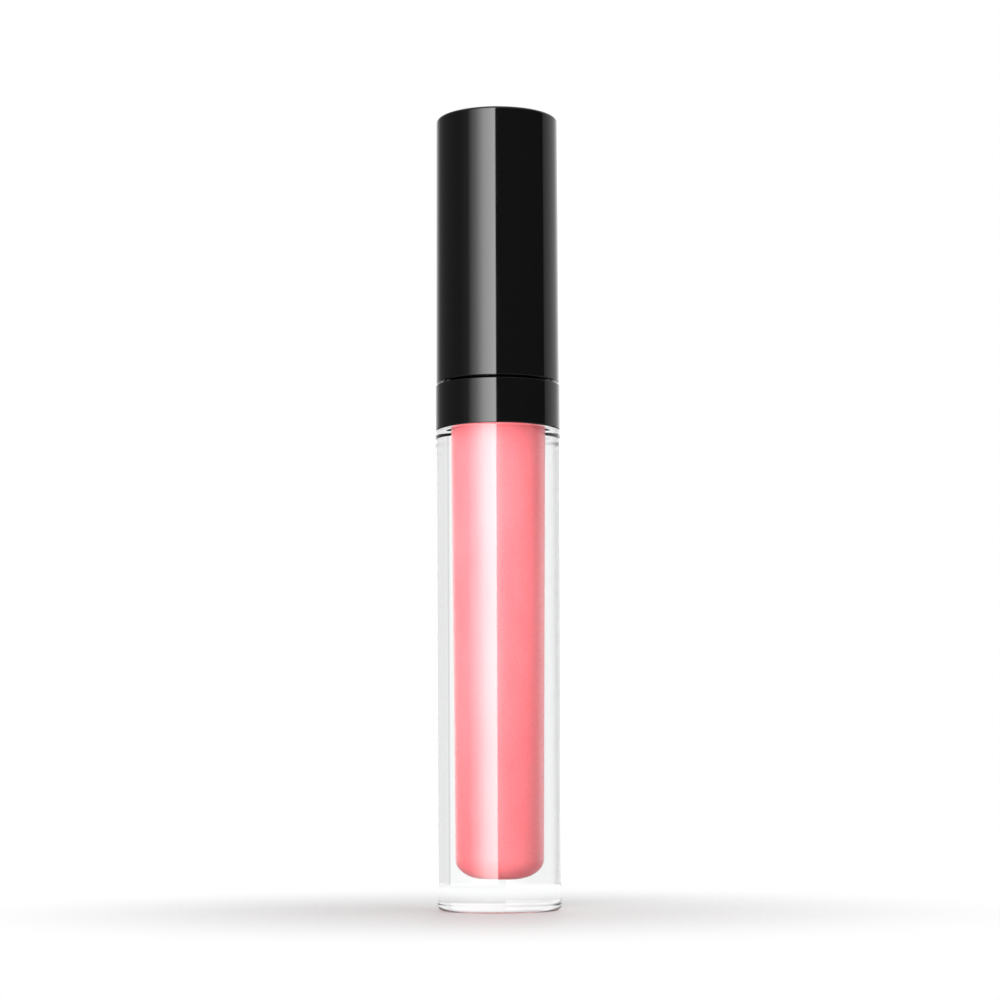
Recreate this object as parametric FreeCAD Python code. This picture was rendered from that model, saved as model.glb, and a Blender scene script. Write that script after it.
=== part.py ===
import FreeCAD, Part
import math
import os

# A lip gloss tube standing on its base: the axis is +Z, and the base's centre is the origin.
# A clear thick-walled bottle carries a black collar. The black cap holds the wand and screws on the
# bottle's neck. Lengths are in millimetres, and every height is that of the closed tube.

# Clear body of the bottle
BODY_HEIGHT = 68.4
BODY_BASE_R = 8.80
BODY_TOP_R = 9.00
BASE_CORNER_R = 0.9
SHOULDER_CORNER_R = 0.35
RECESS_R = 4.65
RECESS_DEPTH = 0.45
RECESS_SLOPE = 0.5

# Bore of the bottle, tapered so that the mould's core draws out
BORE_FLOOR_Z = 4.5
BORE_FLOOR_R = 3.95
BORE_TOP_R = 4.31
BORE_CORNER_R = 2.7
NECK_BORE_R = 4.50
NECK_BORE_Z = 76.5

# Seat of the collar, and the neck
SEAT_R = 6.70
SEAT_TOP_Z = 73.4
SNAP_Z = 71.0
SNAP_HEIGHT = 0.15
SNAP_WIDTH = 0.9
NECK_R = 6.20
NECK_TOP_Z = 86.0
NECK_EDGE = 0.3

# Thread: one start, right hand, 1.25 turns from closed to free
THREAD_LEAD = 2.0
THREAD_CREST_R = 6.90
THREAD_START_Z = 77.6
THREAD_TURNS = 1.5
THREAD_ROOT_WIDTH = 1.0
THREAD_CREST_WIDTH = 0.55
UNSCREW_TURNS = 1.25
UNSCREW_SPARE_DEG = 25.0
CAP_THREAD_ROOT_R = 7.05
CAP_THREAD_CREST_R = 6.35
CAP_THREAD_TURNS = 1.2
CAP_THREAD_DROP = 0.86

# Collar: a skirt outside, a sleeve that snaps on the seat, a groove between them, and a low ring that
# closes the view to the neck under the cap
COLLAR_R = 8.96
COLLAR_TOP_Z = 74.85
COLLAR_EDGE_R = 0.18
COLLAR_GROOVE_OUTER_R = 7.95
COLLAR_GROOVE_INNER_R = 7.35
COLLAR_GROOVE_TOP_Z = 73.9
COLLAR_RING_R = 7.00
COLLAR_RING_TOP_Z = 75.6
COLLAR_RING_EDGE = 0.12
COLLAR_NECK_GAP = 0.15

# Gloss
FILL_TOP_Z = 76.0
FILL_PATH_R = 2.0
FILL_PATH_FLOOR_Z = 7.4

# Wiper
WIPER_FLANGE_R = 6.0
WIPER_FLANGE_HEIGHT = 0.8
WIPER_WALL = 0.7
WIPER_TUBE_END_Z = 80.0
WIPER_LIP_Z = 77.0
WIPER_LIP_LAND = 0.4
WIPER_LIP_WALL = 0.45
WIPER_EDGE = 0.2
WIPER_HOLE_R = 1.78

# Cap shell
CAP_GAP = 0.4
CAP_RIM_R = 8.875
CAP_TOP_R = 8.825
CAP_TOP_Z = 114.0
CAP_EDGE_R = 0.5
CAP_RIM_EDGE_R = 0.18
CAP_BORE_R = 8.05
CAP_CEILING = 1.1

# Inner cap
SKIRT_RECESS = 0.5
SKIRT_R = 7.75
SKIRT_LEAD_IN = 0.25
SKIRT_TOP_EDGE = 0.4
PLATE_HEIGHT = 1.45
BOSS_R = 3.0
BOSS_TOP_Z = 108.0
RIB_COUNT = 12
RIB_WIDTH = 0.8
RIB_INSET = 1.0
WEB_COUNT = 6
WEB_WIDTH = 0.8
WEB_TOP_Z = 110.5

# Sealing washer, which a bead keeps in the inner cap
WASHER_R = 6.85
WASHER_HOLE_R = 1.85
WASHER_HEIGHT = 1.0
BEAD_R = 6.45
BEAD_WIDTH = 0.9
BEAD_TOP_Z = 84.28

# Wand
STEM_R = 1.70
STEM_END_Z = 24.0
STEM_TOP_Z = 101.9
STEM_BEAD_R = 1.95
STEM_BEAD_Z = 98.6
STEM_BEAD_WIDTH = 0.8
STEM_END_EDGE = 0.15
STEM_TOP_EDGE = 0.2
SPIGOT_R = 0.88
SPIGOT_HEIGHT = 6.0
TIP_R = 1.38
TIP_END_Z = 8.3
TIP_NECK_R = 1.30
TIP_NECK_HEIGHT = 0.8
TIP_ROUNDING = 0.96
FLOCK = 0.30
SLANT_DEG = 9.0
SLANT_TOP_Z = 18.0

# Room between fitted pieces, and how far threads, beads, ribs and webs are sunk in what they stand on
FIT_GAP = 0.02
SUNK = 0.3

# Shapes that only cut: their spare length, and the size of the box that cuts the slant
SPARE = 1.0
CUTTER = 40.0
TOUCHING = 1e-6

ORIGIN = FreeCAD.Vector(0, 0, 0)
UP = FreeCAD.Vector(0, 0, 1)

cap_rim_z = COLLAR_TOP_Z + CAP_GAP
skirt_z = cap_rim_z + SKIRT_RECESS
washer_z = NECK_TOP_Z + WIPER_FLANGE_HEIGHT + FIT_GAP
land_z = washer_z + WASHER_HEIGHT + FIT_GAP
plate_top_z = land_z + PLATE_HEIGHT


def outline(corners):
    """A closed face in the XZ plane from (radius, height) corners. A third number rounds the corner."""
    points = [FreeCAD.Vector(corner[0], 0, corner[1]) for corner in corners]
    joins = []
    for i, corner in enumerate(corners):
        here = points[i]
        back = (points[i - 1] - here).normalize()
        on = (points[(i + 1) % len(points)] - here).normalize()
        rounding = corner[2] if len(corner) > 2 else 0
        if not rounding:
            joins.append((here, None, here))
            continue
        half = back.getAngle(on) / 2
        bisector = (back + on).normalize()
        middle = here + bisector * (rounding / math.sin(half) - rounding)
        reach = rounding / math.tan(half)
        joins.append((here + back * reach, middle, here + on * reach))
    edges = []
    for i, (start, middle, end) in enumerate(joins):
        if middle is not None:
            edges.append(Part.Arc(start, middle, end).toShape())
        following = joins[(i + 1) % len(joins)][0]
        if (following - end).Length > TOUCHING:
            edges.append(Part.LineSegment(end, following).toShape())
    return Part.Face(Part.Wire(edges))


def turned(corners):
    """A solid of revolution about the axis."""
    return outline(corners).revolve(ORIGIN, UP, 360)


def ring(outer_r, inner_r, low_z, high_z):
    return turned([(inner_r, low_z), (outer_r, low_z), (outer_r, high_z), (inner_r, high_z)])


def rod(radius, low_z, high_z):
    return Part.makeCylinder(radius, high_z - low_z, FreeCAD.Vector(0, 0, low_z))


def bead(root_r, crest_r, centre_z, width):
    """A ring with a rounded crest, which reaches from root_r to crest_r and is sunk a little in its wall."""
    sunk_r = root_r - math.copysign(SUNK, crest_r - root_r)
    low = FreeCAD.Vector(root_r, 0, centre_z - width / 2)
    high = FreeCAD.Vector(root_r, 0, centre_z + width / 2)
    low_sunk = FreeCAD.Vector(sunk_r, 0, low.z)
    high_sunk = FreeCAD.Vector(sunk_r, 0, high.z)
    edges = [
        Part.LineSegment(high, high_sunk).toShape(),
        Part.LineSegment(high_sunk, low_sunk).toShape(),
        Part.LineSegment(low_sunk, low).toShape(),
        Part.Arc(low, FreeCAD.Vector(crest_r, 0, centre_z), high).toShape(),
    ]
    return Part.Face(Part.Wire(edges)).revolve(ORIGIN, UP, 360)


def thread_ridge(wall_r, crest_r, start_z, start_deg, turns):
    """A right-hand helical ridge. It is inside a bore where crest_r is less than wall_r."""
    height = abs(crest_r - wall_r)
    half_crest = THREAD_CREST_WIDTH / 2
    flank_slope = (THREAD_ROOT_WIDTH / 2 - half_crest) / height
    half_sunk = half_crest + flank_slope * (height + SUNK)
    sunk_r = wall_r - math.copysign(SUNK, crest_r - wall_r)
    section = Part.makePolygon([
        FreeCAD.Vector(sunk_r, 0, -half_sunk),
        FreeCAD.Vector(crest_r, 0, -half_crest),
        FreeCAD.Vector(crest_r, 0, half_crest),
        FreeCAD.Vector(sunk_r, 0, half_sunk),
        FreeCAD.Vector(sunk_r, 0, -half_sunk),
    ])
    helix = Part.makeHelix(THREAD_LEAD, THREAD_LEAD * turns, wall_r)
    ridge = Part.Wire(helix.Edges).makePipeShell([section], True, True)
    ridge.rotate(ORIGIN, UP, start_deg)
    ridge.translate(FreeCAD.Vector(0, 0, start_z))
    return ridge


def around(shape, count):
    """Copies of a shape spaced evenly about the axis."""
    copies = []
    for i in range(count):
        copy = shape.copy()
        copy.rotate(ORIGIN, UP, 360 * i / count)
        copies.append(copy)
    return copies


def bore_r(z):
    """Radius of the bottle's tapered bore at a height."""
    share = (z - BORE_FLOOR_Z) / (NECK_BORE_Z - BORE_FLOOR_Z)
    return BORE_FLOOR_R + share * (BORE_TOP_R - BORE_FLOOR_R)


def make_bottle():
    blank = turned([
        (0, RECESS_DEPTH),
        (RECESS_R - RECESS_SLOPE, RECESS_DEPTH),
        (RECESS_R, 0),
        (BODY_BASE_R, 0, BASE_CORNER_R),
        (BODY_TOP_R, BODY_HEIGHT, SHOULDER_CORNER_R),
        (SEAT_R, BODY_HEIGHT),
        (SEAT_R, SEAT_TOP_Z),
        (NECK_R, SEAT_TOP_Z),
        (NECK_R, NECK_TOP_Z, NECK_EDGE),
        (NECK_BORE_R, NECK_TOP_Z),
        (NECK_BORE_R, NECK_BORE_Z),
        (BORE_TOP_R, NECK_BORE_Z),
        (BORE_FLOOR_R, BORE_FLOOR_Z, BORE_CORNER_R),
        (0, BORE_FLOOR_Z),
    ])
    snap = bead(SEAT_R, SEAT_R + SNAP_HEIGHT, SNAP_Z, SNAP_WIDTH)
    thread = thread_ridge(NECK_R, THREAD_CREST_R, THREAD_START_Z, 0, THREAD_TURNS)
    return blank.fuse([snap, thread])


def make_gloss_fill():
    body = turned([
        (0, BORE_FLOOR_Z + FIT_GAP),
        (BORE_FLOOR_R - FIT_GAP, BORE_FLOOR_Z + FIT_GAP, BORE_CORNER_R),
        (bore_r(FILL_TOP_Z) - FIT_GAP, FILL_TOP_Z),
        (0, FILL_TOP_Z),
    ])
    return body.cut(rod(FILL_PATH_R, FILL_PATH_FLOOR_Z, FILL_TOP_Z + SPARE))


def make_collar():
    sleeve_r = SEAT_R + FIT_GAP
    neck_hole_r = NECK_R + COLLAR_NECK_GAP
    body = turned([
        (sleeve_r, BODY_HEIGHT),
        (COLLAR_GROOVE_INNER_R, BODY_HEIGHT),
        (COLLAR_GROOVE_INNER_R, COLLAR_GROOVE_TOP_Z),
        (COLLAR_GROOVE_OUTER_R, COLLAR_GROOVE_TOP_Z),
        (COLLAR_GROOVE_OUTER_R, BODY_HEIGHT),
        (COLLAR_R, BODY_HEIGHT, COLLAR_EDGE_R),
        (COLLAR_R, COLLAR_TOP_Z, COLLAR_EDGE_R),
        (COLLAR_RING_R, COLLAR_TOP_Z),
        (COLLAR_RING_R, COLLAR_RING_TOP_Z, COLLAR_RING_EDGE),
        (neck_hole_r, COLLAR_RING_TOP_Z),
        (neck_hole_r, SEAT_TOP_Z + FIT_GAP),
        (sleeve_r, SEAT_TOP_Z + FIT_GAP),
    ])
    snap_groove = bead(sleeve_r, sleeve_r + SNAP_HEIGHT, SNAP_Z, SNAP_WIDTH + 2 * FIT_GAP)
    return body.cut(snap_groove)


def make_wiper():
    tube_r = NECK_BORE_R - FIT_GAP
    flange_top_z = NECK_TOP_Z + WIPER_FLANGE_HEIGHT
    lip_r = WIPER_HOLE_R + WIPER_LIP_WALL
    return turned([
        (tube_r - WIPER_WALL, flange_top_z, WIPER_EDGE),
        (WIPER_FLANGE_R, flange_top_z, WIPER_EDGE),
        (WIPER_FLANGE_R, NECK_TOP_Z),
        (tube_r, NECK_TOP_Z),
        (tube_r, WIPER_TUBE_END_Z),
        (lip_r, WIPER_LIP_Z),
        (WIPER_HOLE_R, WIPER_LIP_Z),
        (WIPER_HOLE_R, WIPER_LIP_Z + WIPER_LIP_LAND),
        (tube_r - WIPER_WALL, WIPER_TUBE_END_Z + WIPER_LIP_LAND),
    ])


def make_cap_shell():
    ceiling_z = CAP_TOP_Z - CAP_CEILING
    return turned([
        (0, ceiling_z),
        (CAP_BORE_R, ceiling_z, CAP_EDGE_R),
        (CAP_BORE_R, cap_rim_z),
        (CAP_RIM_R, cap_rim_z, CAP_RIM_EDGE_R),
        (CAP_TOP_R, CAP_TOP_Z, CAP_EDGE_R),
        (0, CAP_TOP_Z),
    ])


def make_inner_cap():
    socket_r = STEM_R + FIT_GAP
    socket_top_z = STEM_TOP_Z + FIT_GAP
    body = turned([
        (CAP_THREAD_ROOT_R + SKIRT_LEAD_IN, skirt_z),
        (SKIRT_R, skirt_z),
        (SKIRT_R, plate_top_z, SKIRT_TOP_EDGE),
        (BOSS_R, plate_top_z),
        (BOSS_R, BOSS_TOP_Z),
        (0, BOSS_TOP_Z),
        (0, socket_top_z),
        (socket_r, socket_top_z),
        (socket_r, land_z),
        (CAP_THREAD_ROOT_R, land_z),
        (CAP_THREAD_ROOT_R, skirt_z + SKIRT_LEAD_IN),
    ])
    groove = bead(socket_r, STEM_BEAD_R + FIT_GAP, STEM_BEAD_Z, STEM_BEAD_WIDTH + 2 * FIT_GAP)
    washer_bead = bead(CAP_THREAD_ROOT_R, BEAD_R, BEAD_TOP_Z - BEAD_WIDTH / 2, BEAD_WIDTH)
    start_deg = (THREAD_TURNS - UNSCREW_TURNS) * 360 + UNSCREW_SPARE_DEG
    start_z = THREAD_START_Z + THREAD_LEAD * start_deg / 360 - CAP_THREAD_DROP
    thread = thread_ridge(CAP_THREAD_ROOT_R, CAP_THREAD_CREST_R, start_z, start_deg, CAP_THREAD_TURNS)
    hold_r = CAP_BORE_R - FIT_GAP
    rib = Part.makeBox(
        hold_r - SKIRT_R + SUNK,
        RIB_WIDTH,
        plate_top_z - skirt_z - 2 * RIB_INSET,
        FreeCAD.Vector(SKIRT_R - SUNK, -RIB_WIDTH / 2, skirt_z + RIB_INSET),
    )
    web = Part.makeBox(
        hold_r - BOSS_R + SUNK,
        WEB_WIDTH,
        WEB_TOP_Z - plate_top_z + SUNK,
        FreeCAD.Vector(BOSS_R - SUNK, -WEB_WIDTH / 2, plate_top_z - SUNK),
    )
    whole = body.cut(groove).fuse([washer_bead, thread] + around(rib, RIB_COUNT) + around(web, WEB_COUNT))
    return whole.common(rod(hold_r, skirt_z - SPARE, CAP_TOP_Z))


def make_sealing_washer():
    return ring(WASHER_R, WASHER_HOLE_R, washer_z, washer_z + WASHER_HEIGHT)


def make_wand_stem():
    stem = turned([
        (0, STEM_END_Z + SPIGOT_HEIGHT + FIT_GAP),
        (SPIGOT_R + FIT_GAP, STEM_END_Z + SPIGOT_HEIGHT + FIT_GAP),
        (SPIGOT_R + FIT_GAP, STEM_END_Z),
        (STEM_R, STEM_END_Z, STEM_END_EDGE),
        (STEM_R, STEM_TOP_Z, STEM_TOP_EDGE),
        (0, STEM_TOP_Z),
    ])
    return stem.fuse(bead(STEM_R, STEM_BEAD_R, STEM_BEAD_Z, STEM_BEAD_WIDTH))


def doe_foot(radius, end_z, top_z):
    """A rod with a rounded end whose one side is cut off aslant."""
    body = turned([(0, end_z), (radius, end_z, radius * TIP_ROUNDING), (radius, top_z), (0, top_z)])
    cutter = Part.makeBox(CUTTER, CUTTER, CUTTER, FreeCAD.Vector(0, -CUTTER / 2, -CUTTER))
    cutter.rotate(ORIGIN, FreeCAD.Vector(0, 1, 0), SLANT_DEG)
    cutter.translate(FreeCAD.Vector(radius, 0, SLANT_TOP_Z))
    return body.cut(cutter)


def make_applicator_core():
    head_top_z = STEM_END_Z - FIT_GAP - TIP_NECK_HEIGHT
    head = doe_foot(TIP_R, TIP_END_Z, head_top_z)
    neck = rod(TIP_NECK_R, head_top_z, STEM_END_Z - FIT_GAP)
    spigot = rod(SPIGOT_R, STEM_END_Z - FIT_GAP, STEM_END_Z + SPIGOT_HEIGHT)
    return head.fuse([neck, spigot])


def make_applicator_flock():
    head_top_z = STEM_END_Z - FIT_GAP - TIP_NECK_HEIGHT
    coat = doe_foot(TIP_R + FLOCK, TIP_END_Z - FLOCK, head_top_z)
    return coat.cut(doe_foot(TIP_R, TIP_END_Z, head_top_z + SPARE))


MAKERS = {
    "bottle": make_bottle,
    "gloss_fill": make_gloss_fill,
    "collar": make_collar,
    "wiper": make_wiper,
    "cap_shell": make_cap_shell,
    "inner_cap": make_inner_cap,
    "sealing_washer": make_sealing_washer,
    "wand_stem": make_wand_stem,
    "applicator_core": make_applicator_core,
    "applicator_flock": make_applicator_flock,
}

os.makedirs("parts", exist_ok=True)
for name, maker in MAKERS.items():
    shape = maker().removeSplitter()
    if not shape.isValid() or len(shape.Solids) != 1:
        raise ValueError(f"{name}: {len(shape.Solids)} solids, valid {shape.isValid()}")
    shape.Solids[0].exportStep(f"parts/{name}.step")
    print(f"{name}: {shape.Volume / 1000:.3f} cm3")
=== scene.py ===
import math
import random

import bmesh
import bpy
from mathutils import Euler, Matrix, Vector


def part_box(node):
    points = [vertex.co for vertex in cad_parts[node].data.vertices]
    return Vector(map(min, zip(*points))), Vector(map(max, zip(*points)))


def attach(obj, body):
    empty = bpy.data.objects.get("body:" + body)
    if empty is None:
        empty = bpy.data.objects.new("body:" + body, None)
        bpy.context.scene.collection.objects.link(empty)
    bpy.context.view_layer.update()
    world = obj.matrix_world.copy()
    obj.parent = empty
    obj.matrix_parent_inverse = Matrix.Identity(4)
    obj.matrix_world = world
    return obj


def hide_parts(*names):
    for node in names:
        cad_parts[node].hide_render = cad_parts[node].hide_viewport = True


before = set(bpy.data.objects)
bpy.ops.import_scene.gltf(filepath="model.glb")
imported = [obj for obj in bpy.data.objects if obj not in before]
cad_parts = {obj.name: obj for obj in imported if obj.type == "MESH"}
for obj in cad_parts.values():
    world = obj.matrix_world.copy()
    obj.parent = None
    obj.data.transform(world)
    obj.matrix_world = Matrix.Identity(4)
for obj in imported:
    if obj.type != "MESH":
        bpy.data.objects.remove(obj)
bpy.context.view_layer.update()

# Lengths are in metres. MM turns a length given in millimetres into metres.
MM = 0.001
TURN = 2 * math.pi

# Camera: the tube is seen from low in front, slightly upwards.
CAMERA_DISTANCE = 0.3725
CAMERA_HEIGHT = 0.0186
CAMERA_SIDE = 0.00023
CAMERA_PITCH = math.radians(6.09)
CAMERA_ROLL = math.radians(-0.22)
CAMERA_FIELD = math.radians(21.71)
CAMERA_NEAREST = 10 * MM
SENSOR_WIDTH = 36.0

# Lathe work
SIDES = 256
ARC_STEPS = 10
SUPPORT = 0.06 * MM
SHARP_ANGLE = math.radians(35)
SAME_POINT = 1e-8
ON_AXIS = 1e-9
ON_WALL = 1e-6

# Boxes of the CAD pieces that are replaced
bottle_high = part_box("bottle")[1]
collar_low, collar_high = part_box("collar")
shell_low, shell_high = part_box("cap_shell")
fill_low, fill_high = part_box("gloss_fill")

# Bottle
BODY_TOP_R = bottle_high.x
BODY_BASE_R = BODY_TOP_R - 0.20 * MM
BASE_CORNER_R = 0.9 * MM
SHOULDER_CORNER_R = 0.35 * MM
RECESS_R = 4.65 * MM
RECESS_DEPTH = 0.45 * MM
RECESS_SLOPE = 0.5 * MM
RECESS_EDGE = 0.25 * MM
FOOT_EDGE = 0.2 * MM
BORE_FLOOR_Z = fill_low.z
BORE_FLOOR_R = 3.95 * MM
BORE_TOP_R = 4.31 * MM
BORE_CORNER_R = 2.7 * MM
NECK_BORE_R = 4.50 * MM
NECK_BORE_Z = 76.5 * MM
NECK_R = 6.20 * MM
NECK_EDGE = 0.3 * MM
SEAT_R = 6.70 * MM
SEAT_TOP_Z = 73.4 * MM
SEAT_EDGE = 0.2 * MM

# Thread on the neck
THREAD_LEAD = 2.0 * MM
THREAD_START_Z = 77.6 * MM
THREAD_TURNS = 1.5
THREAD_HEIGHT = 0.70 * MM
THREAD_CREST = 0.275 * MM
THREAD_ROOT = 0.50 * MM
THREAD_RUN_OUT = 0.08
THREAD_STEP = 0.09 * MM

# Collar
GROOVE_OUTER_R = 7.95 * MM
GROOVE_INNER_R = 7.35 * MM
GROOVE_TOP_Z = 73.9 * MM
COLLAR_TOP_Z = 74.85 * MM
RING_R = 7.00 * MM
RING_EDGE = 0.12 * MM
NECK_HOLE_R = 6.35 * MM
FIT_GAP = 0.02 * MM

# Gloss: the wand's path through it, and the edge that climbs the wall
FILL_PATH_R = 2.0 * MM
FILL_PATH_FLOOR_Z = 7.4 * MM
FILL_PATH_EDGE = 0.1 * MM
MENISCUS_HEIGHT = 0.3 * MM
MENISCUS_WIDTH = 0.5 * MM
MENISCUS_R = 0.3 * MM

# The gloss wets the bore: its surface lies just inside the plastic, so no film of air shows.
WETTING = 0.03 * MM

# Air stays between the collar and the shoulder, so the shoulder mirrors from inside.
AIR_FILM = 0.03 * MM
SLIT_R = 4.75 * MM

# Flock fibres
FIBRE_COUNT = 5200
FIBRE_LENGTH = 0.085 * MM
FIBRE_SHORTEST = 0.5
FIBRE_R = 0.014 * MM
FIBRE_LEAN = 0.45
FIBRE_SEED = 7
TIP_CURVE_Z = 9.5 * MM
COAT_TOP_FACING = 0.6

# Film of gloss on the wand's stem
FILM_TOP_Z = 72 * MM
FILM_FULL_Z = 30 * MM
FILM_PATCHES = 2.4
FILM_STARTS = FILM_PATCHES / 2 + 0.45
FILM_COVERS = FILM_PATCHES / 2 + 1.25
FILM_COLOUR = (0.72, 0.16, 0.18, 1)

# Cap shell, and the edge that its rim and the collar share
CAP_EDGE_R = 0.5 * MM
CAP_TOP_R = shell_high.x - 0.05 * MM
CAP_BORE_R = 8.05 * MM
CAP_CEILING = 1.1 * MM
CAP_BORE_EDGE = 0.12 * MM
RIM_EDGE_R = 0.11 * MM


def rounded(corners, closed):
    """Points of an outline in (radius, height). A corner's third number rounds it by that radius."""
    count = len(corners)
    points = []
    for i, corner in enumerate(corners):
        here = Vector(corner[:2])
        inner = closed or 0 < i < count - 1
        if len(corner) < 3 or not inner:
            points.append(here)
            continue
        back = (Vector(corners[i - 1][:2]) - here).normalized()
        on = (Vector(corners[(i + 1) % count][:2]) - here).normalized()
        half = back.angle(on) / 2
        centre = here + (back + on).normalized() * (corner[2] / math.sin(half))
        start = here + back * (corner[2] / math.tan(half))
        end = here + on * (corner[2] / math.tan(half))
        sweep = (start - centre).angle_signed(end - centre)
        points.append(start + back * SUPPORT)
        for step in range(ARC_STEPS + 1):
            arm = (start - centre).copy()
            arm.rotate(Matrix.Rotation(-sweep * step / ARC_STEPS, 2))
            points.append(centre + arm)
        points.append(end + on * SUPPORT)
    return points


def finished(name, mesh, mat):
    """Makes an object of a mesh: normals outwards, smooth shading with true edges kept, one material."""
    work = bmesh.new()
    work.from_mesh(mesh)
    bmesh.ops.remove_doubles(work, verts=work.verts, dist=SAME_POINT)
    bmesh.ops.recalc_face_normals(work, faces=work.faces)
    work.to_mesh(mesh)
    work.free()
    mesh.polygons.foreach_set("use_smooth", [True] * len(mesh.polygons))
    mesh.set_sharp_from_angle(angle=SHARP_ANGLE)
    mesh.materials.append(mat)
    piece = bpy.data.objects.new(name, mesh)
    bpy.context.scene.collection.objects.link(piece)
    return piece


def lathe(name, corners, closed, mat, swell=None):
    """Turns an outline about the axis. swell(radius, height, angle) adds to the radius, as a thread does."""
    outline = rounded(corners, closed)
    verts, rings = [], []
    for radius, height in outline:
        if radius < ON_AXIS:
            rings.append([len(verts)])
            verts.append((0, 0, height))
            continue
        rings.append(range(len(verts), len(verts) + SIDES))
        for side in range(SIDES):
            angle = TURN * side / SIDES
            r = radius + (swell(radius, height, angle) if swell else 0)
            verts.append((r * math.cos(angle), r * math.sin(angle), height))
    faces = []
    pairs = list(zip(rings, rings[1:])) + ([(rings[-1], rings[0])] if closed else [])
    for low, high in pairs:
        for side in range(SIDES):
            following = (side + 1) % SIDES
            if len(low) == 1:
                faces.append((low[0], high[following], high[side]))
            elif len(high) == 1:
                faces.append((low[side], low[following], high[0]))
            else:
                faces.append((low[side], low[following], high[following], high[side]))
    mesh = bpy.data.meshes.new(name)
    mesh.from_pydata(verts, [], faces)
    return finished(name, mesh, mat)


def thread_swell(radius, height, angle):
    """Height of the neck's helical ridge above the wall, running out at both ends."""
    if abs(radius - NECK_R) > ON_WALL:
        return 0
    best = 0
    for lap in (0, 1):
        turns = angle / TURN + lap
        if turns > THREAD_TURNS:
            continue
        off = abs(height - THREAD_START_Z - THREAD_LEAD * turns)
        flank = (THREAD_ROOT - off) / (THREAD_ROOT - THREAD_CREST)
        ends = min(turns, THREAD_TURNS - turns) / THREAD_RUN_OUT
        best = max(best, min(1, max(0, flank)) * min(1, max(0, ends)))
    return best * THREAD_HEIGHT


def material(name, colour, roughness, **sockets):
    """A Principled material. Each further argument names one of the shader's sockets, with _ for a space."""
    mat = bpy.data.materials.new(name)
    mat.use_nodes = True
    shader = mat.node_tree.nodes["Principled BSDF"]
    shader.inputs["Base Color"].default_value = (*colour, 1)
    shader.inputs["Roughness"].default_value = roughness
    for socket, value in sockets.items():
        shader.inputs[socket.replace("_", " ")].default_value = value
    return mat, mat.node_tree, shader


def link(tree, source, socket, target):
    tree.links.new(source.outputs[socket], target)


def feed(tree, socket, value):
    """Sets a socket to a number, or links it to another node's output."""
    if isinstance(value, (int, float)):
        socket.default_value = value
    else:
        tree.links.new(value, socket)


def between(tree, value, start, end, smooth=True):
    """Goes from 0 to 1 while a value goes from start to end."""
    spread = tree.nodes.new("ShaderNodeMapRange")
    if smooth:
        spread.interpolation_type = "SMOOTHSTEP"
    spread.inputs["From Min"].default_value = start
    spread.inputs["From Max"].default_value = end
    tree.links.new(value, spread.inputs["Value"])
    return spread.outputs["Result"]


def noise_node(tree, scale, detail=3.0, stretch=(1, 1, 1)):
    """Noise in the object's own coordinates, stretched along an axis where stretch is small."""
    place = tree.nodes.new("ShaderNodeTexCoord")
    mapping = tree.nodes.new("ShaderNodeMapping")
    mapping.inputs["Scale"].default_value = stretch
    texture = tree.nodes.new("ShaderNodeTexNoise")
    texture.inputs["Scale"].default_value = scale
    texture.inputs["Detail"].default_value = detail
    link(tree, place, "Object", mapping.inputs["Vector"])
    link(tree, mapping, "Vector", texture.inputs["Vector"])
    return texture


def ranged(tree, source, low, high, target):
    """Feeds a socket with a noise's value, spread from low to high."""
    spread = tree.nodes.new("ShaderNodeMapRange")
    spread.inputs["From Min"].default_value = 0.3
    spread.inputs["From Max"].default_value = 0.7
    spread.inputs["To Min"].default_value = low
    spread.inputs["To Max"].default_value = high
    link(tree, source, "Fac", spread.inputs["Value"])
    link(tree, spread, "Result", target)


def tinted(tree, source, colours, target):
    """Feeds a colour socket with a noise's value, mixed between two colours."""
    ramp = tree.nodes.new("ShaderNodeValToRGB")
    ramp.color_ramp.elements[0].position = 0.35
    ramp.color_ramp.elements[1].position = 0.65
    for element, colour in zip(ramp.color_ramp.elements, colours):
        element.color = (*colour, 1)
    link(tree, source, "Fac", ramp.inputs["Fac"])
    link(tree, ramp, "Color", target)


def bumped(tree, source, shader, depth):
    """Raises the surface by a noise, depth in metres."""
    bump = tree.nodes.new("ShaderNodeBump")
    bump.inputs["Strength"].default_value = 1.0
    bump.inputs["Distance"].default_value = depth
    link(tree, source, "Fac", bump.inputs["Height"])
    link(tree, bump, "Normal", shader.inputs["Normal"])


def clear_plastic():
    """Polished thick plastic. Lamps shine through it, so what is inside is lit."""
    mat, tree, shader = material(
        "clear_plastic", (0.985, 0.99, 0.99), roughness=0.0, Transmission_Weight=1.0, IOR=1.57
    )
    flow = noise_node(tree, scale=60, detail=1.0, stretch=(1, 1, 0.15))
    bumped(tree, flow, shader, depth=0.0006 * MM)
    path = tree.nodes.new("ShaderNodeLightPath")
    open_way = tree.nodes.new("ShaderNodeBsdfTransparent")
    open_way.inputs["Color"].default_value = (0.93, 0.94, 0.94, 1)
    mix = tree.nodes.new("ShaderNodeMixShader")
    link(tree, path, "Is Shadow Ray", mix.inputs["Fac"])
    link(tree, shader, "BSDF", mix.inputs[1])
    link(tree, open_way, "BSDF", mix.inputs[2])
    link(tree, mix, "Shader", tree.nodes["Material Output"].inputs["Surface"])
    return mat


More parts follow.
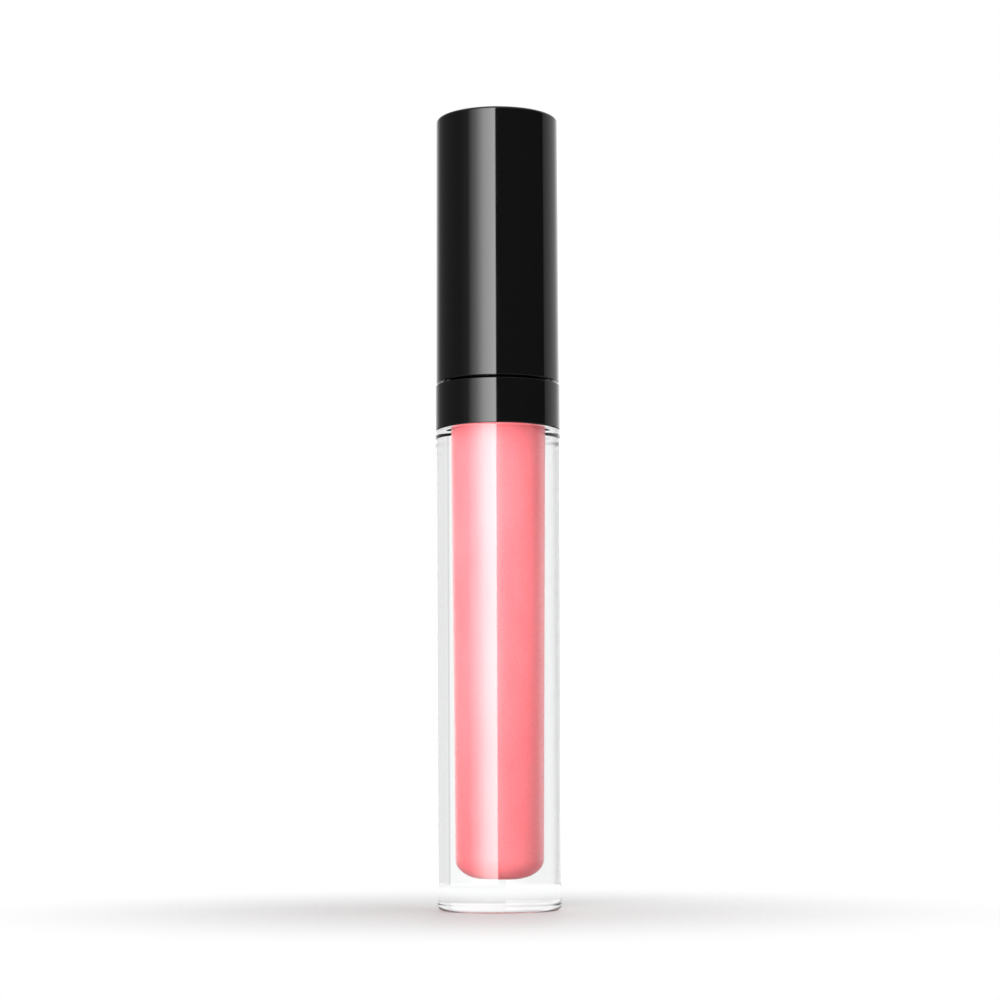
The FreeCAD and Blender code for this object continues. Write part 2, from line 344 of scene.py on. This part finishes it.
def pink_gloss():
    """Opaque wet gloss with a slow swirl and a fine grain in its shine."""
    mat, tree, shader = material(
        "pink_gloss", (0.96, 0.205, 0.23), roughness=0.3,
        IOR=1.6, Subsurface_Weight=0.35, Subsurface_Scale=2.0 * MM,
    )
    shader.inputs["Subsurface Radius"].default_value = (1.0, 0.35, 0.3)
    swirl = noise_node(tree, scale=170, detail=4.0, stretch=(1, 1, 0.35))
    tinted(tree, swirl, ((0.94, 0.185, 0.212), (0.98, 0.225, 0.252)), shader.inputs["Base Color"])
    grain = noise_node(tree, scale=9000, detail=2.0)
    ranged(tree, grain, 0.24, 0.36, shader.inputs["Roughness"])
    return mat


def black_plastic():
    """Polished black plastic, with the faint unevenness of a moulded and handled surface."""
    mat, tree, shader = material("black_plastic", (0.002, 0.002, 0.0022), roughness=0.05, IOR=1.5)
    wear = noise_node(tree, scale=220, detail=6.0, stretch=(1, 1, 0.5))
    ranged(tree, wear, 0.04, 0.085, shader.inputs["Roughness"])
    waviness = noise_node(tree, scale=45, detail=1.0, stretch=(1, 1, 0.3))
    bumped(tree, waviness, shader, depth=0.002 * MM)
    return mat


def satin_plastic(name, colours, roughness, **sockets):
    """Moulded plastic with a fine spark-eroded grain."""
    mat, tree, shader = material(name, colours[0], roughness, **sockets)
    patches = noise_node(tree, scale=300, detail=5.0)
    tinted(tree, patches, colours, shader.inputs["Base Color"])
    ranged(tree, patches, roughness - 0.06, roughness + 0.08, shader.inputs["Roughness"])
    bumped(tree, noise_node(tree, scale=6500, detail=2.0), shader, depth=0.012 * MM)
    return mat


def foam():
    """Closed-cell foam: small domed cells."""
    mat, tree, shader = material("foam", (0.65, 0.65, 0.63), roughness=0.75, Subsurface_Weight=0.2)
    shader.inputs["Subsurface Scale"].default_value = 0.4 * MM
    place = tree.nodes.new("ShaderNodeTexCoord")
    cells = tree.nodes.new("ShaderNodeTexVoronoi")
    cells.inputs["Scale"].default_value = 4200
    link(tree, place, "Object", cells.inputs["Vector"])
    bump = tree.nodes.new("ShaderNodeBump")
    bump.inputs["Distance"].default_value = 0.05 * MM
    link(tree, cells, "Distance", bump.inputs["Height"])
    link(tree, bump, "Normal", shader.inputs["Normal"])
    patches = noise_node(tree, scale=900)
    tinted(tree, patches, ((0.60, 0.60, 0.575), (0.70, 0.70, 0.68)), shader.inputs["Base Color"])
    return mat


def wet_stem(black):
    """The stem's satin black, with an uneven film of gloss up to where the wiper stops it."""
    mat = black.copy()
    mat.name = "wand_stem_wet"
    tree = mat.node_tree
    shader = tree.nodes["Principled BSDF"]
    dry = shader.inputs["Base Color"].links[0].from_socket
    place = tree.nodes.new("ShaderNodeTexCoord")
    parts = tree.nodes.new("ShaderNodeSeparateXYZ")
    link(tree, place, "Object", parts.inputs["Vector"])
    dipped = between(tree, parts.outputs["Z"], FILM_TOP_Z, FILM_FULL_Z, smooth=False)
    streaks = noise_node(tree, scale=750, detail=4.0, stretch=(1, 1, 0.12))
    cover = tree.nodes.new("ShaderNodeMath")
    cover.operation = "MULTIPLY_ADD"
    link(tree, streaks, "Fac", cover.inputs[0])
    cover.inputs[1].default_value = FILM_PATCHES
    tree.links.new(dipped, cover.inputs[2])
    film = between(tree, cover.outputs["Value"], FILM_STARTS, FILM_COVERS, smooth=False)
    paint = tree.nodes.new("ShaderNodeMix")
    paint.data_type = "RGBA"
    colours = [socket for socket in paint.inputs if socket.type == "RGBA"]
    tree.links.new(film, paint.inputs[0])
    tree.links.new(dry, colours[0])
    colours[1].default_value = FILM_COLOUR
    painted = [socket for socket in paint.outputs if socket.type == "RGBA"][0]
    tree.links.new(painted, shader.inputs["Base Color"])
    tree.links.new(film, shader.inputs["Coat Weight"])
    shader.inputs["Coat Roughness"].default_value = 0.08
    return mat


def flock_fibre():
    """Nylon fibres soaked with gloss."""
    mat, tree, shader = material(
        "flock", (0.70, 0.22, 0.24), roughness=0.32, Coat_Weight=0.6, Coat_Roughness=0.12
    )
    soak = noise_node(tree, scale=1200)
    tinted(tree, soak, ((0.62, 0.15, 0.17), (0.74, 0.27, 0.29)), shader.inputs["Base Color"])
    ranged(tree, soak, 0.18, 0.45, shader.inputs["Roughness"])
    return mat


def make_bottle(mat):
    thread_low = THREAD_START_Z - 2 * THREAD_ROOT
    thread_high = THREAD_START_Z + THREAD_LEAD * THREAD_TURNS + 2 * THREAD_ROOT
    steps = math.ceil((thread_high - thread_low) / THREAD_STEP)
    neck = [(NECK_R, thread_low + (thread_high - thread_low) * i / steps) for i in range(steps + 1)]
    neck_top_z = bottle_high.z
    corners = [
        (0, RECESS_DEPTH),
        (RECESS_R - RECESS_SLOPE, RECESS_DEPTH, RECESS_EDGE),
        (RECESS_R, 0, FOOT_EDGE),
        (BODY_BASE_R, 0, BASE_CORNER_R),
        (BODY_TOP_R, collar_low.z, SHOULDER_CORNER_R),
        (SLIT_R, collar_low.z),
        (SLIT_R, collar_low.z + AIR_FILM),
        (SEAT_R, collar_low.z + AIR_FILM),
        (SEAT_R, SEAT_TOP_Z, SEAT_EDGE),
        (NECK_R, SEAT_TOP_Z, SEAT_EDGE),
        *neck,
        (NECK_R, neck_top_z, NECK_EDGE),
        (NECK_BORE_R, neck_top_z),
        (NECK_BORE_R, NECK_BORE_Z),
        (BORE_TOP_R, NECK_BORE_Z),
        (BORE_FLOOR_R, BORE_FLOOR_Z, BORE_CORNER_R),
        (0, BORE_FLOOR_Z),
    ]
    bottle = lathe("bottle_clear", corners, False, mat, thread_swell)
    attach(bottle, "bottle_body")
    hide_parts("bottle")


def make_gloss(mat):
    share = (fill_high.z - BORE_FLOOR_Z) / (NECK_BORE_Z - BORE_FLOOR_Z)
    top_r = BORE_FLOOR_R + share * (BORE_TOP_R - BORE_FLOOR_R)
    corners = [
        (0, BORE_FLOOR_Z - WETTING),
        (BORE_FLOOR_R + WETTING, BORE_FLOOR_Z - WETTING, BORE_CORNER_R + WETTING),
        (top_r + WETTING, fill_high.z + MENISCUS_HEIGHT),
        (top_r - MENISCUS_WIDTH, fill_high.z, MENISCUS_R),
        (FILL_PATH_R, fill_high.z, FILL_PATH_EDGE),
        (FILL_PATH_R, FILL_PATH_FLOOR_Z),
        (0, FILL_PATH_FLOOR_Z),
    ]
    gloss = lathe("gloss_column", corners, False, mat)
    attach(gloss, "bottle_body")
    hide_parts("gloss_fill")


def make_collar(mat):
    sleeve_r = SEAT_R + FIT_GAP
    outer_r = collar_high.x
    foot_z = collar_low.z + AIR_FILM
    corners = [
        (sleeve_r, foot_z),
        (GROOVE_INNER_R, foot_z),
        (GROOVE_INNER_R, GROOVE_TOP_Z),
        (GROOVE_OUTER_R, GROOVE_TOP_Z),
        (GROOVE_OUTER_R, foot_z),
        (outer_r, foot_z, RIM_EDGE_R),
        (outer_r, COLLAR_TOP_Z, RIM_EDGE_R),
        (RING_R, COLLAR_TOP_Z),
        (RING_R, collar_high.z, RING_EDGE),
        (NECK_HOLE_R, collar_high.z),
        (NECK_HOLE_R, SEAT_TOP_Z + FIT_GAP),
        (sleeve_r, SEAT_TOP_Z + FIT_GAP),
    ]
    collar = lathe("collar_band", corners, True, mat)
    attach(collar, "bottle_body")
    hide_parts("collar")


def make_cap_shell(mat):
    ceiling_z = shell_high.z - CAP_CEILING
    corners = [
        (0, ceiling_z),
        (CAP_BORE_R, ceiling_z, CAP_EDGE_R),
        (CAP_BORE_R, shell_low.z, CAP_BORE_EDGE),
        (shell_high.x, shell_low.z, RIM_EDGE_R),
        (CAP_TOP_R, shell_high.z, CAP_EDGE_R),
        (0, shell_high.z),
    ]
    shell = lathe("cap_gloss", corners, False, mat)
    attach(shell, "cap_body")
    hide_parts("cap_shell")


def make_flock(mat):
    """Short fibres that stand on the applicator's coat, leaning every way and wet with gloss."""
    chance = random.Random(FIBRE_SEED)
    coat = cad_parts["applicator_flock"]
    coat.data.calc_loop_triangles()
    corners = [vertex.co for vertex in coat.data.vertices]
    patches, areas = [], []
    for triangle in coat.data.loop_triangles:
        middle = triangle.center
        outward = Vector((middle.x, middle.y, min(0, middle.z - TIP_CURVE_Z)))
        if triangle.normal.dot(outward) > 0 and triangle.normal.z < COAT_TOP_FACING:
            patches.append(triangle)
            areas.append(triangle.area)
    verts, faces = [], []
    for patch in chance.choices(patches, areas, k=FIBRE_COUNT):
        a, b, c = [corners[i] for i in patch.vertices]
        u, v = sorted((chance.random(), chance.random()))
        root = a * u + b * (v - u) + c * (1 - v)
        lean = Vector([chance.uniform(-FIBRE_LEAN, FIBRE_LEAN) for _ in range(3)])
        way = (patch.normal + lean).normalized()
        side = way.orthogonal().normalized() * FIBRE_R
        first = len(verts)
        for step in range(3):
            side.rotate(Matrix.Rotation(TURN / 3, 3, way))
            verts.append(root - way * FIBRE_R + side)
        verts.append(root + way * chance.uniform(FIBRE_SHORTEST, 1.0) * FIBRE_LENGTH)
        faces += [(first, first + 1, first + 3), (first + 1, first + 2, first + 3)]
        faces += [(first + 2, first, first + 3), (first, first + 2, first + 1)]
    mesh = bpy.data.meshes.new("flock_fibres")
    mesh.from_pydata(verts, [], faces)
    mesh.materials.append(mat)
    fibres = bpy.data.objects.new("flock_fibres", mesh)
    bpy.context.scene.collection.objects.link(fibres)
    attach(fibres, "cap_body")


def dress_nodes(materials):
    """Gives the CAD nodes that stay their materials."""
    for node, mat in materials.items():
        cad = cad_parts[node]
        cad.data.materials.clear()
        cad.data.materials.append(mat)


def set_camera():
    data = bpy.data.cameras.new("camera")
    data.sensor_width = SENSOR_WIDTH
    data.lens = SENSOR_WIDTH / 2 / math.tan(CAMERA_FIELD / 2)
    data.clip_start = CAMERA_NEAREST
    camera = bpy.data.objects.new("camera", data)
    tilt = Euler((math.pi / 2 + CAMERA_PITCH, 0, 0)).to_matrix() @ Matrix.Rotation(CAMERA_ROLL, 3, "Z")
    camera.rotation_euler = tilt.to_euler()
    camera.location = (CAMERA_SIDE, -CAMERA_DISTANCE, CAMERA_HEIGHT)
    bpy.context.scene.collection.objects.link(camera)
    bpy.context.scene.camera = camera


# Light round the tube by compass angle in degrees, 0 towards the camera and positive to its right. A tall
# soft box stands left of the camera with a hard edge near it, pale walls close the room behind, and a
# flag stands before the white backdrop. The narrow dark strip at 135 degrees is what draws the thin line
# in the clear wall. Each entry gives the light that polish mirrors, the light that falls on matt
# surfaces, and the white that shows through the clear plastic.
STUDIO = [
    (-180, 1.0, 1.1, 1.0), (-160, 1.0, 1.0, 0.85), (-150, 0.6, 0.8, 0.85), (-137, 0.25, 0.5, 0.80),
    (-129, 0.22, 0.5, 0.68), (-119, 0.18, 0.5, 0.33), (-108, 0.16, 0.5, 0.10), (-96, 0.14, 0.5, 1.2),
    (-75, 0.12, 0.4, 2.4), (-57, 0.30, 0.6, 2.7), (-40, 2.7, 2.4, 2.6), (-25, 6.6, 5.6, 2.0),
    (-3.6, 9.2, 7.6, 1.5), (-3.0, 0.04, 0.7, 0.4), (45, 0.04, 1.8, 0.4), (96, 0.04, 2.4, 0.7),
    (98, 0.45, 1.8, 0.95), (112, 0.66, 1.1, 1.05), (125, 0.85, 1.1, 0.93), (134.8, 0.93, 1.1, 0.93),
    (135.3, 0.93, 1.1, 0.5), (136.1, 0.94, 1.1, 0.5), (136.6, 0.95, 1.1, 1.05), (157, 1.8, 1.1, 1.05),
    (180, 2.0, 1.1, 1.0),
]
STUDIO_PEAK = 10.0
CEILING_LIGHT = 0.8
CEILING_FROM = 0.55
CEILING_TO = 0.95

# What is seen through the plastic along a steep line is dimmer, and a lamp seen inside it is held back.
STEEP_FROM = 0.2
STEEP_TO = 0.9
STEEP_LIGHT = 0.45
INSIDE_LIMIT = 3.0


def set_world():
    """Light of the room by compass angle, apart for mirrored, scattered and refracted rays."""
    world = bpy.data.worlds.new("studio")
    world.use_nodes = True
    tree = world.node_tree
    background = tree.nodes["Background"]
    place = tree.nodes.new("ShaderNodeTexCoord")
    parts = tree.nodes.new("ShaderNodeSeparateXYZ")
    link(tree, place, "Generated", parts.inputs["Vector"])

    def maths(operation, *values):
        node = tree.nodes.new("ShaderNodeMath")
        node.operation = operation
        for slot, value in enumerate(values):
            feed(tree, node.inputs[slot], value)
        return node.outputs["Value"]

    def mixed(share, low, high):
        mix = tree.nodes.new("ShaderNodeMix")
        for socket, value in (("Factor", share), ("A", low), ("B", high)):
            feed(tree, mix.inputs[socket], value)
        return mix.outputs["Result"]

    away = maths("MULTIPLY", parts.outputs["Y"], -1)
    compass = maths("ARCTAN2", parts.outputs["X"], away)
    share = maths("MULTIPLY_ADD", compass, 1 / TURN, 0.5)
    ramp = tree.nodes.new("ShaderNodeValToRGB")
    elements = ramp.color_ramp.elements
    # A new ramp has two entries already
    for degrees, *_ in STUDIO[2:]:
        elements.new(degrees / 360 + 0.5)
    for element, (degrees, *lights) in zip(elements, STUDIO):
        element.position = degrees / 360 + 0.5
        element.color = (*[light / STUDIO_PEAK for light in lights], 1)
    tree.links.new(share, ramp.inputs["Fac"])
    split = tree.nodes.new("ShaderNodeSeparateColor")
    link(tree, ramp, "Color", split.inputs["Color"])
    bands = [split.outputs[band] for band in ("Red", "Green", "Blue")]
    polish, soft, through = [maths("MULTIPLY", band, STUDIO_PEAK) for band in bands]

    path = tree.nodes.new("ShaderNodeLightPath")
    up = parts.outputs["Z"]
    ray_through = path.outputs["Is Transmission Ray"]
    inside = maths("MAXIMUM", maths("MINIMUM", polish, INSIDE_LIMIT), through)
    kept = mixed(ray_through, polish, inside)
    walls = mixed(path.outputs["Is Diffuse Ray"], kept, soft)
    room = mixed(between(tree, up, CEILING_FROM, CEILING_TO), walls, CEILING_LIGHT)
    steep = between(tree, maths("ABSOLUTE", up), STEEP_FROM, STEEP_TO)
    backdrop = maths("MULTIPLY", through, mixed(steep, 1.0, STEEP_LIGHT))
    bounces = maths("ADD", path.outputs["Diffuse Depth"], path.outputs["Glossy Depth"])
    straight = maths("MULTIPLY", ray_through, maths("LESS_THAN", bounces, 0.5))
    strength = mixed(path.outputs["Is Camera Ray"], mixed(straight, room, backdrop), 1.0)
    tree.links.new(strength, background.inputs["Strength"])
    background.inputs["Color"].default_value = (1, 1, 1, 1)
    bpy.context.scene.world = world


FLOOR_R = 100 * MM
FLOOR_SIDES = 96
# Painted shade: the floor is grey near the tube as a painted shadow round its foot. Between these radii it
# fades into glowing white.
FLOOR_FADE_FROM = 8 * MM
FLOOR_FADE_TO = 80 * MM
FLOOR_PAINTED_SHADE_GREY = 0.52
FLOOR_PAINTED_SHADE_GREYS = ((0.512, 0.512, 0.512), (0.528, 0.528, 0.528))


def make_floor():
    """A floor painted grey near the tube as a painted shadow round its foot, which turns into the glowing
    white of the room away from the tube.
    """
    mesh = bpy.data.meshes.new("floor")
    work = bmesh.new()
    bmesh.ops.create_circle(work, cap_ends=True, segments=FLOOR_SIDES, radius=FLOOR_R)
    work.to_mesh(mesh)
    work.free()
    floor = bpy.data.objects.new("floor", mesh)
    bpy.context.scene.collection.objects.link(floor)
    # The grey near the tube is painted shade; the floor also takes real shadow there.
    mat, tree, shader = material("floor", (FLOOR_PAINTED_SHADE_GREY, FLOOR_PAINTED_SHADE_GREY, FLOOR_PAINTED_SHADE_GREY), roughness=0.6)
    tinted(tree, noise_node(tree, scale=700), FLOOR_PAINTED_SHADE_GREYS, shader.inputs["Base Color"])
    place = tree.nodes.new("ShaderNodeTexCoord")
    length = tree.nodes.new("ShaderNodeVectorMath")
    length.operation = "LENGTH"
    link(tree, place, "Object", length.inputs[0])
    fade = between(tree, length.outputs["Value"], FLOOR_FADE_FROM, FLOOR_FADE_TO)
    white = tree.nodes.new("ShaderNodeEmission")
    mix = tree.nodes.new("ShaderNodeMixShader")
    tree.links.new(fade, mix.inputs["Fac"])
    link(tree, shader, "BSDF", mix.inputs[1])
    link(tree, white, "Emission", mix.inputs[2])
    link(tree, mix, "Shader", tree.nodes["Material Output"].inputs["Surface"])
    mesh.materials.append(mat)


bpy.context.scene.view_settings.view_transform = "Standard"
set_camera()
set_world()
make_floor()
gloss_black = black_plastic()
make_bottle(clear_plastic())
make_gloss(pink_gloss())
make_collar(gloss_black)
make_cap_shell(gloss_black)
black_liner = satin_plastic(
    "black_liner", colours=((0.012, 0.012, 0.013), (0.02, 0.02, 0.021)), roughness=0.35
)
milky = satin_plastic(
    "milky_plastic", colours=((0.50, 0.50, 0.485), (0.58, 0.58, 0.565)), roughness=0.4,
    Subsurface_Weight=0.4, Subsurface_Scale=0.8 * MM,
)
wet_flock = flock_fibre()
dress_nodes({
    "inner_cap": black_liner,
    "wand_stem": wet_stem(black_liner),
    "wiper": milky,
    "applicator_core": milky,
    "sealing_washer": foam(),
    "applicator_flock": wet_flock,
})
make_flock(wet_flock)
